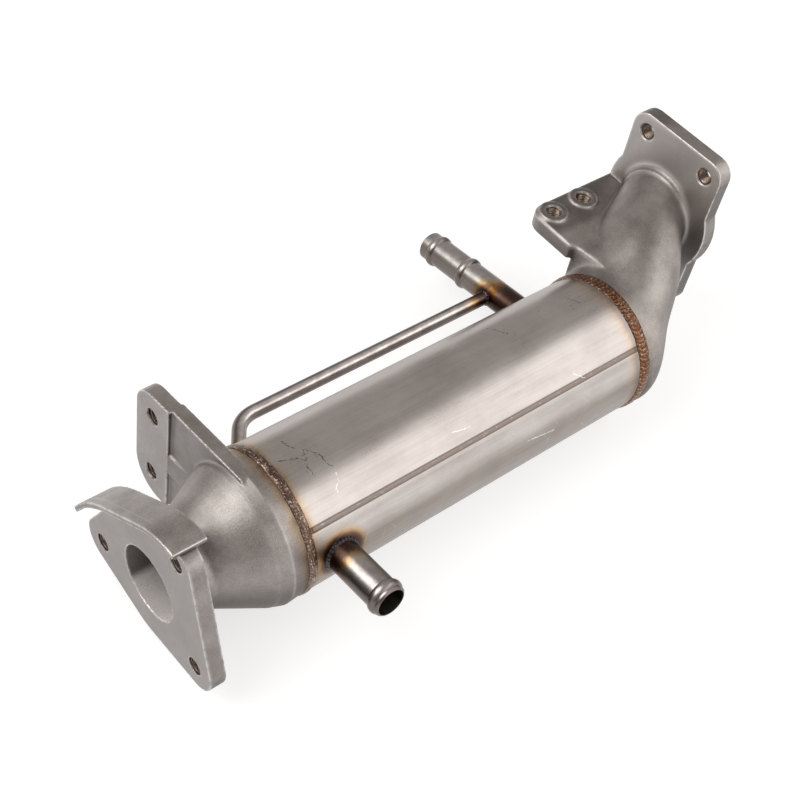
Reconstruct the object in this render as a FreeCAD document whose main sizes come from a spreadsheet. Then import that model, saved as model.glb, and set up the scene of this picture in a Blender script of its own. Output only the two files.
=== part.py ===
# Exhaust gas recirculation cooler pipe: a water jacketed tube bundle between two
# cast flanges, with two hose spigots and a bleed tube, welded into one piece.
#
# Frame, in millimetres: the origin is the centre of the gas inlet on the inlet
# flange's face, +X runs along the shell to the outlet, +Z is up and +Y is left.
# The driving sizes are in the sheet; every sketch and feature is bound to them.

import FreeCAD, Part
import math
import os

import Sketcher
from FreeCAD import Vector

doc = FreeCAD.newDocument("GasCooler")
sheet = doc.addObject("Spreadsheet::Sheet", "Sizes")
cell_row = 0


class Size:
    """A length with its number and the formula that ties it to the sheet."""

    def __init__(self, value, formula):
        self.value = float(value)
        self.formula = formula

    def __add__(self, other):
        other = as_size(other)
        return Size(self.value + other.value, "(%s + %s)" % (self.formula, other.formula))

    def __sub__(self, other):
        other = as_size(other)
        return Size(self.value - other.value, "(%s - %s)" % (self.formula, other.formula))

    def __mul__(self, other):
        other = as_size(other)
        return Size(self.value * other.value, "(%s * %s)" % (self.formula, other.formula))

    def __truediv__(self, other):
        other = as_size(other)
        return Size(self.value / other.value, "(%s / %s)" % (self.formula, other.formula))

    def __neg__(self):
        return Size(-self.value, "(0 - %s)" % self.formula)

    __radd__ = __add__
    __rmul__ = __mul__


def as_size(number):
    return number if isinstance(number, Size) else Size(number, repr(float(number)))


def sine(angle):
    return Size(math.sin(math.radians(angle.value)), "sin(%s * 1deg)" % angle.formula)


def cosine(angle):
    return Size(math.cos(math.radians(angle.value)), "cos(%s * 1deg)" % angle.formula)


def size(alias, number, note):
    """Adds one driving dimension to the sheet and returns it."""
    global cell_row
    cell_row += 1
    sheet.set("A%d" % cell_row, note)
    sheet.set("B%d" % cell_row, repr(float(number)))
    sheet.setAlias("B%d" % cell_row, alias)
    return Size(number, "Sizes." + alias)


def bind(thing, prop, value):
    thing.setExpression(prop, as_size(value).formula)


# Driving dimensions

shell_radius = size("shell_radius", 38, "outer radius of the water jacket")
shell_wall = size("shell_wall", 1.5, "wall of the water jacket")
shell_start = size("shell_start", 62.6, "from the inlet face to the jacket's first end")
shell_length = size("shell_length", 217.5, "length of the jacket")
inlet_seam_width = size("inlet_seam_width", 6.8, "width of the seam at the inlet")
inlet_seam_height = size("inlet_seam_height", 1.1, "how far that seam stands proud")
outlet_seam_width = size("outlet_seam_width", 8.4, "width of the seam at the outlet")
outlet_seam_height = size("outlet_seam_height", 1.5, "how far that seam stands proud")
outlet_seam_shift = size("outlet_seam_shift", 0.8, "how far it lies towards the duct")
long_seam_width = size("long_seam_width", 3.4, "width of the jacket's long seam")
long_seam_height = size("long_seam_height", 0.35, "how far the long seam stands proud")
long_seam_angle = size("long_seam_angle", 148.4, "place of the long seam round the jacket")

port_tilt = size("port_tilt", -8, "turn of the water ports' plane about the jacket's axis")
spigot_radius = size("spigot_radius", 8.3, "outer radius of the hose spigots")
spigot_wall = size("spigot_wall", 1.2, "wall of the hose spigots")
spigot_inset = size("spigot_inset", 2.9, "how far a spigot reaches in past the jacket's surface")
bead_radius = size("bead_radius", 9.4, "outer radius of the hose beads")
bead_width = size("bead_width", 5, "width of a hose bead")
inlet_spigot_leg = size("inlet_spigot_leg", 2.8, "leg of the fillet weld round the water inlet")
outlet_spigot_leg = size("outlet_spigot_leg", 2, "leg of the fillet weld round the water outlet")
inlet_spigot_on = size("inlet_spigot_on", 16.4, "water inlet, from the jacket's near end")
inlet_spigot_reach = size("inlet_spigot_reach", 73, "water inlet, from the axis to its mouth")
inlet_bead_back = size("inlet_bead_back", 6.8, "water inlet, from its mouth to the bead's far side")
outlet_spigot_back = size("outlet_spigot_back", 13.8, "water outlet, from the jacket's far end")
outlet_spigot_reach = size("outlet_spigot_reach", 118.5, "water outlet, from the axis to its mouth")
end_bead_back = size("end_bead_back", 10.5, "water outlet, from its mouth to its end bead")
stop_bead_back = size("stop_bead_back", 36, "water outlet, from its mouth to its stop bead")

bleed_radius = size("bleed_radius", 3.75, "outer radius of the bleed tube")
bleed_wall = size("bleed_wall", 0.8, "wall of the bleed tube")
bleed_offset = size("bleed_offset", 63.0, "bleed tube, from the axis to its long run")
bleed_angle = size("bleed_angle", 54, "slope of the bleed tube's leg to the jacket")
bleed_bend = size("bleed_bend", 17, "bend radius of the bleed tube's middle line")
bleed_foot_on = size("bleed_foot_on", 12, "bleed tube's foot, from the jacket's near end")

header_inset = size("header_inset", 1.6, "from a jacket end to its tube plate")
header_thick = size("header_thick", 2, "thickness of a tube plate")
tube_share = size("tube_share", 0.387, "outer radius of a gas tube, as a share of the spacing")
tube_wall = size("tube_wall", 0.7, "wall of a gas tube")
tube_spread = size("tube_spread", 0.389, "gas tube spacing as a share of the jacket's bore")
tube_proud = size("tube_proud", 1.4, "how far a gas tube stands out of its plate")
baffle_thick = size("baffle_thick", 1.5, "thickness of a baffle")
baffle_gap = size("baffle_gap", 0.3, "clearance of a baffle in the jacket")
tube_gap = size("tube_gap", 0.15, "clearance of a gas tube in a baffle")
baffle_cut_share = size("baffle_cut_share", 0.504, "baffle's straight edge, as a share of the bore")
baffle_one_share = size("baffle_one_share", 0.333, "first baffle, as a share of the jacket")
baffle_two_share = size("baffle_two_share", 0.66, "second baffle, as a share of the jacket")

gas_bore_radius = size("gas_bore_radius", 19, "radius of the gas inlet")
flange_thick = size("flange_thick", 8.5, "thickness of the inlet flange")
bolt_hole_radius = size("bolt_hole_radius", 4.5, "radius of the bolt holes")
hole_a_y = size("hole_a_y", 38.1, "bolt hole at the open corner, across")
hole_a_z = size("hole_a_z", -14.2, "bolt hole at the open corner, up")
hole_b_y = size("hole_b_y", -19.7, "bolt hole under the hood, across")
hole_b_z = size("hole_b_z", 39.9, "bolt hole under the hood, up")
hole_c_y = size("hole_c_y", -37.6, "lower bolt hole, across")
hole_c_z = size("hole_c_z", -17.9, "lower bolt hole, up")
corner_radius = size("corner_radius", 12.5, "corner radius of the inlet flange")
shoulder_y = size("shoulder_y", 29, "flange edge beside the open corner, across")
shoulder_z = size("shoulder_z", 20.6, "flange edge beside the open corner, up")
shoulder_radius = size("shoulder_radius", 3, "radius of the edge there")
brow_y = size("brow_y", -4, "flange edge above the gas inlet, across")
brow_z = size("brow_z", 37, "flange edge above the gas inlet, up")
brow_radius = size("brow_radius", 9.8, "radius of the edge there")
hood_corner_radius = size("hood_corner_radius", 10, "corner radius under the hood")
belly_radius = size("belly_radius", 34.6, "radius of the flange edge below the gas inlet")

hood_width = size("hood_width", 17.3, "width of the hood over the inlet flange")
hood_thick = size("hood_thick", 2.9, "thickness of the hood")
hood_rise = size("hood_rise", 38.3, "from the gas inlet's axis to the hood's straight top")
hood_slope = size("hood_slope", 144.6, "direction of the hood's straight top")
hood_straight = size("hood_straight", 36, "length of the hood's straight top")
hood_shift = size("hood_shift", 8.2, "middle of the hood's straight top, past the square foot")
hood_lip_radius = size("hood_lip_radius", 37.4, "bend radius of the hood towards its lip")
hood_lip_turn = size("hood_lip_turn", 39.4, "turn of the hood towards its lip")
hood_tip_radius = size("hood_tip_radius", 86, "bend radius of the hood towards its tip")
hood_tip_turn = size("hood_tip_turn", 26.2, "turn of the hood towards its tip")

bell_neck_radius = size("bell_neck_radius", 23.2, "outer radius of the bell behind the flange")
bell_neck_end = size("bell_neck_end", 20, "where the bell starts to open")
bell_mouth_start = size("bell_mouth_start", 45, "where the bell's cone ends")
bell_mouth_inset = size("bell_mouth_inset", 1.8, "end of the bell's cone, in from the jacket's face")
bell_shoulder_x = size("bell_shoulder_x", 52, "middle of the bell's round shoulder")
bell_shoulder_proud = size("bell_shoulder_proud", 0.6, "how far the bell's shoulder stands out")
rim_width = size("rim_width", 3.7, "width of the bell's plain rim at the jacket")
duct_rim_width = size("duct_rim_width", 5.2, "width of the duct's plain rim at the jacket")
cast_wall = size("cast_wall", 3.7, "wall of the castings")

bracket_x = size("bracket_x", 46, "front face of the bracket's bolt pad")
bracket_thick = size("bracket_thick", 8.2, "thickness of the bracket")
bracket_step = size("bracket_step", 2, "how far the bolt pad stands in front of the web")
bracket_hole_y = size("bracket_hole_y", 69.5, "bracket bolt holes, across")
bracket_hole_z = size("bracket_hole_z", -5.7, "middle of the two bracket bolt holes, up")
bracket_pitch = size("bracket_pitch", 41.4, "distance between the two bracket bolt holes")
bracket_edge = size("bracket_edge", 83.1, "outer edge of the bracket")
bracket_pad_edge = size("bracket_pad_edge", 56, "inner edge of the bolt pad")
bracket_top_angle = size("bracket_top_angle", 8, "fall of the bracket's top edge")
bracket_top = size("bracket_top", 38.5, "height of the bracket's top edge above the axis")
bracket_runout = size("bracket_runout", 9, "how far the bracket's top runs past the axis")
bracket_gusset = size("bracket_gusset", 14, "length of the small gusset beside the bolt pad")
bracket_gusset_low = size("bracket_gusset_low", -14, "lower end of that gusset")
bracket_low = size("bracket_low", -41.5, "lower end of the bracket")
bracket_top_corner = size("bracket_top_corner", 13, "upper corner radius of the bracket")
bracket_low_corner = size("bracket_low_corner", 17.5, "lower corner radius of the bracket")

duct_length = size("duct_length", 73.9, "from the jacket to the outlet flange")
outlet_y = size("outlet_y", 36.3, "centre of the gas outlet, across")
outlet_z = size("outlet_z", 35.4, "centre of the gas outlet, up")
outlet_thick = size("outlet_thick", 9, "thickness of the outlet flange")
outlet_width = size("outlet_width", 64.4, "width of the outlet flange")
outlet_height = size("outlet_height", 100.4, "height of the outlet flange")
outlet_corner = size("outlet_corner", 9.5, "corner radius of the outlet flange")
outlet_belly = size("outlet_belly", 36.2, "radius of the outlet flange's round sides")
outlet_pitch_y = size("outlet_pitch_y", 43, "outlet bolt holes, across")
outlet_pitch_z = size("outlet_pitch_z", 79, "outlet bolt holes, up")
outlet_bore_radius = size("outlet_bore_radius", 20, "radius of the gas outlet")
duct_end_radius = size("duct_end_radius", 24.1, "outer radius of the duct at the outlet flange")
duct_fillet = size("duct_fillet", 3, "fillet between the duct and the outlet flange")

ear_top = size("ear_top", 35, "height of the ear's top")
ear_thick = size("ear_thick", 9.6, "thickness of the ear")
ear_length = size("ear_length", 63.8, "from the ear's front edge to the outlet flange")
ear_edge = size("ear_edge", 73.4, "outer edge of the ear")
ear_root_gap = size("ear_root_gap", 1.3, "from the jacket's side to the ear's root")
ear_bevel = size("ear_bevel", 1.2, "bevel along the ear's upper edge")
ear_slant = size("ear_slant", 12, "run of the ear's slanted root")
ear_sink = size("ear_sink", 9, "how far the ear's root reaches into the duct")
ear_boss_radius = size("ear_boss_radius", 8.3, "radius of the ear's bosses")
ear_boss_proud = size("ear_boss_proud", 1.5, "how far the bosses stand proud")
ear_boss_inset = size("ear_boss_inset", 10.4, "from the ear's front edge to its first boss")
ear_boss_y = size("ear_boss_y", 63.8, "place of the bosses across")
ear_boss_pitch = size("ear_boss_pitch", 23.2, "distance between the bosses")
ear_hole_radius = size("ear_hole_radius", 4.25, "radius of the ear's holes")

doc.recompute()

# Places that follow from the driving dimensions

shell_end = shell_start + shell_length
shell_bore = shell_radius - shell_wall
inlet_spigot_x = shell_start + inlet_spigot_on
outlet_spigot_x = shell_end - outlet_spigot_back
inlet_bead = inlet_spigot_reach - inlet_bead_back
outlet_bead_far = outlet_spigot_reach - end_bead_back
outlet_bead_near = outlet_spigot_reach - stop_bead_back
bleed_foot = shell_start + bleed_foot_on
tube_pitch = shell_bore * tube_spread
tube_radius = tube_pitch * tube_share
baffle_cut = shell_bore * baffle_cut_share
bell_mouth_radius = shell_radius - bell_mouth_inset
bell_shoulder = shell_radius + bell_shoulder_proud
baffle_one_x = shell_start + shell_length * baffle_one_share
baffle_two_x = shell_start + shell_length * baffle_two_share
outlet_face = shell_end + duct_length
ear_front = outlet_face - ear_length
ear_root = shell_radius + ear_root_gap
ear_boss_x = ear_front + ear_boss_inset
inlet_plate_x = shell_start + header_inset
outlet_plate_x = shell_end - header_inset - header_thick
tube_start = inlet_plate_x - tube_proud
tube_end = outlet_plate_x + header_thick + tube_proud
hood_front = flange_thick / 2 - hood_width / 2
duct_start = shell_end + duct_rim_width
duct_run = outlet_face - duct_start


# Sketch and feature helpers

def new_body(name):
    body = doc.addObject("PartDesign::Body", name)
    body.Label = name
    return body


def new_sketch(body, plane_role, offset=0):
    """A sketch on one of the body's own base planes, moved along its normal."""
    plane = [item for item in body.Origin.OriginFeatures if item.Role == plane_role][0]
    sketch = body.newObject("Sketcher::SketchObject", body.Name + "_sketch")
    sketch.AttachmentSupport = (plane, [""])
    sketch.MapMode = "FlatFace"
    bind(sketch, "AttachmentOffset.Base.z", offset)
    return sketch


def pin_point(sketch, geometry, point, x, y):
    """Ties a point of the sketch to named sizes, measured from its origin."""
    for kind, axis, value in (("DistanceX", -2, x), ("DistanceY", -1, y)):
        if not isinstance(value, Size) and value == 0:
            sketch.addConstraint(Sketcher.Constraint("PointOnObject", geometry, point, axis))
            continue
        value = as_size(value)
        index = sketch.addConstraint(
            Sketcher.Constraint(kind, -1, 1, geometry, point, value.value))
        bind(sketch, "Constraints[%d]" % index, value)


def set_radius(sketch, geometry, radius):
    radius = as_size(radius)
    index = sketch.addConstraint(Sketcher.Constraint("Radius", geometry, radius.value))
    bind(sketch, "Constraints[%d]" % index, radius)


def add_circle(sketch, x, y, radius):
    centre = Vector(as_size(x).value, as_size(y).value, 0)
    circle = Part.Circle(centre, Vector(0, 0, 1), as_size(radius).value)
    geometry = sketch.addGeometry(circle, False)
    pin_point(sketch, geometry, 3, x, y)
    set_radius(sketch, geometry, radius)
    return geometry


def add_outline(sketch, corners):
    """A closed line through pinned corners. A corner may carry the radius of the
    arc that leads to the next one; a negative radius bends it to the other side."""
    count = len(corners)
    spots = [Vector(as_size(c[0]).value, as_size(c[1]).value, 0) for c in corners]
    for index, corner in enumerate(corners):
        start = spots[index]
        end = spots[(index + 1) % count]
        if len(corner) == 2:
            sketch.addGeometry(Part.LineSegment(start, end), False)
            continue
        radius = as_size(corner[2]).value
        chord = end - start
        reach = math.sqrt(max(radius ** 2 - chord.Length ** 2 / 4, 0))
        side = Vector(chord.y, -chord.x, 0).normalize() * math.copysign(1, radius)
        crown = (start + end) / 2 + side * (abs(radius) - reach)
        sketch.addGeometry(Part.Arc(start, crown, end).toShape().Curve.trim(
            *Part.Arc(start, crown, end).toShape().ParameterRange), False)
    for index, corner in enumerate(corners):
        begin, finish = end_points(sketch, index, spots[index])
        before = (index - 1) % count
        last = end_points(sketch, before, spots[before])[1]
        sketch.addConstraint(Sketcher.Constraint("Coincident", before, last, index, begin))
        pin_point(sketch, index, begin, corner[0], corner[1])
        if len(corner) == 3:
            radius = corner[2]
            set_radius(sketch, index, radius if as_size(radius).value > 0 else -radius)


def end_points(sketch, geometry, start):
    """Which of an edge's two end points lies at the given start."""
    first = sketch.getPoint(geometry, 1)
    return (1, 2) if first.distanceToPoint(start) < 1e-6 else (2, 1)


def add_hull(sketch, circles):
    """A closed line of arcs about given centres, joined by lines tangent to them.
    The circles (x, y, radius) go round the outline the left-hand way."""
    count = len(circles)
    values = [[as_size(item).value for item in circle] for circle in circles]
    normals = []
    for index in range(count):
        x0, y0, r0 = values[index]
        x1, y1, r1 = values[(index + 1) % count]
        heading = math.atan2(y1 - y0, x1 - x0)
        lean = math.asin((r0 - r1) / math.hypot(x1 - x0, y1 - y0))
        normals.append(heading - math.pi / 2 + lean)
    for index, (x, y, radius) in enumerate(values):
        begin = normals[index - 1]
        finish = normals[index]
        while finish < begin:
            finish += 2 * math.pi
        circle = Part.Circle(Vector(x, y, 0), Vector(0, 0, 1), radius)
        sketch.addGeometry(Part.ArcOfCircle(circle, begin, finish), False)
    for index in range(count):
        after = (index + 1) % count
        across = Vector(math.cos(normals[index]), math.sin(normals[index]), 0)
        start = Vector(*values[index][:2], 0) + across * values[index][2]
        end = Vector(*values[after][:2], 0) + across * values[after][2]
        line = sketch.addGeometry(Part.LineSegment(start, end), False)
        sketch.addConstraint(Sketcher.Constraint("Tangent", index, 2, line, 1))
        sketch.addConstraint(Sketcher.Constraint("Tangent", line, 2, after, 1))
    for index, (x, y, radius) in enumerate(circles):
        pin_point(sketch, index, 3, x, y)
        set_radius(sketch, index, radius)


def pad(body, sketch, length, reverse=False):
    feature = body.newObject("PartDesign::Pad", body.Name + "_pad")
    feature.Profile = sketch
    bind(feature, "Length", length)
    feature.Reversed = reverse
    return feature


def pocket(body, sketch, length):
    """Cuts the sketch forward, along its normal."""
    feature = body.newObject("PartDesign::Pocket", body.Name + "_pocket")
    feature.Profile = sketch
    bind(feature, "Length", length)
    feature.Reversed = True
    return feature


def turned(body, kind, sketch, axis="H_Axis"):
    feature = body.newObject("PartDesign::" + kind, body.Name + "_" + kind.lower())
    feature.Profile = sketch
    feature.ReferenceAxis = (sketch, [axis])
    feature.Angle = 360
    return feature


def lofted(body, kind, sketches):
    feature = body.newObject("PartDesign::" + kind, body.Name + "_loft")
    feature.Profile = sketches[0]
    feature.Sections = sketches[1:]
    return feature


def round_edges(body, kind, amount, where):
    """Fillets or chamfers those edges of the body's last feature that a test picks."""
    doc.recompute()
    base = body.Tip
    names = ["Edge%d" % (number + 1) for number, edge in enumerate(base.Shape.Edges)
             if where(edge)]
    feature = body.newObject("PartDesign::" + kind, body.Name + "_" + kind.lower())
    feature.Base = (base, names)
    bind(feature, "Radius" if kind == "Fillet" else "Size", amount)
    return feature


def lies_at(edge, axis, place):
    """Whether every point of an edge has the given coordinate."""
    points = edge.discretize(5)
    return all(abs(getattr(point, axis) - place.value) < 1e-3 for point in points)


def tilt_to_ports(body, along=None):
    """Turns a piece of the jacket into the plane of the water ports."""
    body.Placement.Rotation = FreeCAD.Rotation(Vector(1, 0, 0), port_tilt.value)
    bind(body, "Placement.Rotation.Angle", port_tilt * Size(1, "1deg"))
    if along is not None:
        bind(body, "Placement.Base.x", along)


# Inlet casting: flange with hood, bell and bracket

def hood_lines():
    """The hood's outer and inner line, from its tip to its lip."""
    along_y, along_z = cosine(hood_slope), sine(hood_slope)
    out_y, out_z = sine(hood_slope), -cosine(hood_slope)
    lip_slope = hood_slope + hood_lip_turn
    tip_slope = hood_slope - hood_tip_turn
    start = -hood_straight / 2 + hood_shift
    end = hood_straight / 2 + hood_shift
    lines = []
    for depth in (0, hood_thick):
        rise = hood_rise - depth
        low = (out_y * rise + along_y * start, out_z * rise + along_z * start)
        high = (out_y * rise + along_y * end, out_z * rise + along_z * end)
        lip = hood_lip_radius - depth
        tip = hood_tip_radius - depth
        lip_end = (high[0] + lip * (sine(lip_slope) - out_y),
                   high[1] + lip * (-cosine(lip_slope) - out_z))
        tip_end = (low[0] + tip * (sine(tip_slope) - out_y),
                   low[1] + tip * (-cosine(tip_slope) - out_z))
        lines.append((tip_end, low, high, lip_end, tip, lip))
    return lines


def bell_outline():
    """The bell's outer line, from the flange to the shell."""
    return [
        (flange_thick, bell_neck_radius),
        (bell_neck_end, bell_neck_radius),
        (bell_mouth_start, bell_mouth_radius),
        (bell_shoulder_x, bell_shoulder),
        (shell_start - rim_width, shell_radius),
        (shell_start, shell_radius),
    ]


def make_inlet_flange():
    body = new_body("inlet_flange")
    plate = new_sketch(body, "YZ_Plane")
    add_hull(plate, [
        (hole_a_y, hole_a_z, corner_radius),
        (shoulder_y, shoulder_z, shoulder_radius),
        (brow_y, brow_z, brow_radius),
        (hole_b_y - 1, hole_b_z - 1, hood_corner_radius),
        (hole_c_y, hole_c_z, corner_radius),
        (0, 0, belly_radius),
    ])
    pad(body, plate, flange_thick)

    (tip, low, high, lip, tip_r, lip_r), inner = hood_lines()
    hood = new_sketch(body, "YZ_Plane", hood_front)
    add_outline(hood, [
        (tip[0], tip[1], tip_r),
        (low[0], low[1]),
        (high[0], high[1], lip_r),
        (lip[0], lip[1]),
        (inner[3][0], inner[3][1], -inner[5]),
        (inner[2][0], inner[2][1]),
        (inner[1][0], inner[1][1], -inner[4]),
        (inner[0][0], inner[0][1]),
    ])
    pad(body, hood, hood_width)

    port = new_sketch(body, "YZ_Plane")
    add_circle(port, 0, 0, gas_bore_radius)
    pocket(body, port, flange_thick)
    holes = new_sketch(body, "YZ_Plane", hood_front)
    for y, z in ((hole_a_y, hole_a_z), (hole_b_y, hole_b_z), (hole_c_y, hole_c_z)):
        add_circle(holes, y, z, bolt_hole_radius)
    pocket(body, holes, hood_width)
    return body


def make_inlet_bell():
    body = new_body("inlet_bell")
    wall = new_sketch(body, "XY_Plane")
    add_outline(wall, bell_outline() + [
        (shell_start, shell_radius - cast_wall),
        (shell_start - rim_width, shell_radius - cast_wall),
        (bell_mouth_start, bell_mouth_radius - cast_wall - 0.6),
        (bell_neck_end - 2, gas_bore_radius),
        (flange_thick, gas_bore_radius),
    ])
    turned(body, "Revolution", wall)
    return body


def make_bracket():
    body = new_body("bracket")
    rise, run = cosine(bracket_top_angle), sine(bracket_top_angle)
    web_y = bracket_pad_edge + bracket_step
    web = new_sketch(body, "YZ_Plane", bracket_x + bracket_step)
    add_outline(web, [
        (web_y, (bracket_top - web_y * run) / rise),
        (3, (bracket_top - run * 3) / rise),
        (-bracket_runout, bracket_top - 3.5),
        (-bracket_runout, 0),
        (bracket_pad_edge / 4, bracket_low + 9),
        (web_y, bracket_low + 1),
    ])
    pad(body, web, bracket_thick - 0.8)

    corner_y = bracket_edge - bracket_top_corner
    corner_z = (bracket_top - bracket_top_corner - corner_y * run) / rise
    face = new_sketch(body, "YZ_Plane", bracket_x)
    add_hull(face, [
        (corner_y, corner_z, bracket_top_corner),
        (bracket_pad_edge + 0.5, (bracket_top - 0.5 - bracket_pad_edge * run) / rise, 0.5),
        (bracket_pad_edge + 0.5, bracket_low + 1.5, 0.5),
        (bracket_edge - bracket_low_corner, bracket_low + bracket_low_corner,
         bracket_low_corner),
    ])
    pad(body, face, bracket_thick)

    gusset = new_sketch(body, "XY_Plane", bracket_gusset_low)
    add_outline(gusset, [
        (bracket_x + bracket_step + 0.5, bracket_pad_edge - bracket_gusset),
        (bracket_x + bracket_step + 0.5, bracket_pad_edge + 0.5),
        (bracket_x + 0.3, bracket_pad_edge + 0.5),
        (bracket_x + bracket_step - 0.1, bracket_pad_edge - bracket_gusset),
    ])
    pad(body, gusset, bracket_gusset)

    bell = new_sketch(body, "XY_Plane")
    add_outline(bell, [(flange_thick, 0)] + bell_outline() + [(shell_start, 0)])
    turned(body, "Groove", bell)

    pair = new_sketch(body, "YZ_Plane", bracket_x)
    for side in (-0.5, 0.5):
        add_circle(pair, bracket_hole_y, bracket_hole_z + bracket_pitch * side, bolt_hole_radius)
    pocket(body, pair, bracket_thick)
    return body


# Outlet casting: bent duct, flange and ear

# Each station of the duct: its share of the run, its share of the way to the
# outlet's centre, and its outer radius as a share between the duct's two ends.
DUCT_STATIONS = [
    (0.0, 0.0, 1.0),
    (0.075, 0.0, 1.065),
    (0.232, 0.155, 0.965),
    (0.427, 0.4, 0.765),
    (0.716, 0.69, 0.41),
    (1.0, 1.0, 0.0),
]


# Where the ear is blended into the duct: a station of the duct, how far inside the
# duct the blend starts, and how far its foot lies beyond the ear's root.
EAR_BLENDS = [
    ((0.11, 0.03, 1.05), 1.5, 0),
    ((0.28, 0.21, 0.92), 2, 0.5),
    ((0.58, 0.55, 0.58), 3, 11),
    ((0.9, 0.88, 0.14), 4, 21),
]


def duct_circle(station, inset, end_radius):
    """Place along the part, centre and radius of the duct at one station."""
    run_share, way_share, size_share = station
    return (duct_start + duct_run * run_share,
            outlet_y * way_share if way_share else 0,
            outlet_z * way_share if way_share else 0,
            end_radius + (shell_radius - inset - end_radius) * size_share)


def duct_sketches(body, inset, end_radius):
    sketches = []
    for station in DUCT_STATIONS:
        x, y, z, radius = duct_circle(station, inset, end_radius)
        sketch = new_sketch(body, "YZ_Plane", x)
        add_circle(sketch, y, z, radius)
        sketches.append(sketch)
    return sketches


def flare_sketch(body):
    """Half the section of the fillet that joins the duct to the outlet flange."""
    sketch = new_sketch(body, "XY_Plane", outlet_z)
    bind(sketch, "AttachmentOffset.Base.y", outlet_y)
    add_outline(sketch, [
        (outlet_face - duct_fillet, 0),
        (outlet_face - duct_fillet, duct_end_radius, duct_fillet + 0.01),
        (outlet_face, duct_end_radius + duct_fillet),
        (outlet_face, 0),
    ])
    return sketch


def make_outlet_duct():
    body = new_body("outlet_duct")
    rim = new_sketch(body, "YZ_Plane", shell_end)
    add_circle(rim, 0, 0, shell_radius)
    pad(body, rim, duct_rim_width)
    lofted(body, "AdditiveLoft", duct_sketches(body, 0, duct_end_radius))
    turned(body, "Revolution", flare_sketch(body))
    lofted(body, "SubtractiveLoft", duct_sketches(body, cast_wall, outlet_bore_radius))
    mouth = new_sketch(body, "YZ_Plane", shell_end)
    add_circle(mouth, 0, 0, shell_radius - cast_wall)
    pocket(body, mouth, duct_rim_width)
    return body


def make_outlet_flange():
    body = new_body("outlet_flange")
    plate = new_sketch(body, "YZ_Plane", outlet_face)
    half_y = outlet_width / 2 - outlet_corner
    half_z = outlet_height / 2 - outlet_corner
    add_hull(plate, [
        (outlet_y + half_y, outlet_z + half_z, outlet_corner),
        (outlet_y - half_y, outlet_z + half_z, outlet_corner),
        (outlet_y - half_y, outlet_z - half_z, outlet_corner),
        (outlet_y + half_y, outlet_z - half_z, outlet_corner),
    ])
    pad(body, plate, outlet_thick)
    belly = new_sketch(body, "YZ_Plane", outlet_face)
    add_circle(belly, outlet_y, outlet_z, outlet_belly)
    pad(body, belly, outlet_thick)

    openings = new_sketch(body, "YZ_Plane", outlet_face)
    add_circle(openings, outlet_y, outlet_z, outlet_bore_radius)
    for side_y in (-0.5, 0.5):
        for side_z in (-0.5, 0.5):
            add_circle(openings, outlet_y + outlet_pitch_y * side_y,
                       outlet_z + outlet_pitch_z * side_z, bolt_hole_radius)
    pocket(body, openings, outlet_thick)
    return body


def make_outlet_ear():
    """The ear with its two bosses, and the ribs that blend it into the duct."""
    body = new_body("outlet_ear")
    corner = ear_edge - ear_boss_y
    plate = new_sketch(body, "XY_Plane", ear_top - ear_thick)
    add_outline(plate, [
        (ear_front, ear_root),
        (ear_front + ear_slant, ear_root - ear_sink),
        (outlet_face, ear_root - ear_sink),
        (outlet_face, ear_edge),
        (ear_front + corner, ear_edge, corner + 0.05),
        (ear_front, ear_boss_y),
    ])
    pad(body, plate, ear_thick)
    round_edges(body, "Chamfer", ear_bevel, lambda edge: lies_at(edge, "z", ear_top)
                and (edge.CenterOfMass.y > ear_boss_y.value
                     or edge.CenterOfMass.x < ear_front.value + 1))

    blends = []
    for station, inset, foot in EAR_BLENDS:
        x, y, z, radius = duct_circle(station, 0, duct_end_radius)
        blend = new_sketch(body, "YZ_Plane", x)
        tip = ear_thick / 2
        add_hull(blend, [(y, z, radius - inset), (ear_root + foot - tip, ear_top - tip, tip)])
        blends.append(blend)
    lofted(body, "AdditiveLoft", blends)

    bosses = new_sketch(body, "XY_Plane", ear_top)
    for step in (0, 1):
        add_circle(bosses, ear_boss_x + ear_boss_pitch * step, ear_boss_y, ear_boss_radius)
    pad(body, bosses, ear_boss_proud)
    turned(body, "Groove", flare_sketch(body))
    lofted(body, "SubtractiveLoft", duct_sketches(body, 0, duct_end_radius))

    taps = new_sketch(body, "XY_Plane", ear_top - ear_thick)
    for step in (0, 1):
        add_circle(taps, ear_boss_x + ear_boss_pitch * step, ear_boss_y, ear_hole_radius)
    pocket(body, taps, ear_thick + ear_boss_proud)
    return body


# Water jacket: the shell with its seams, ports and bleed tube

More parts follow.
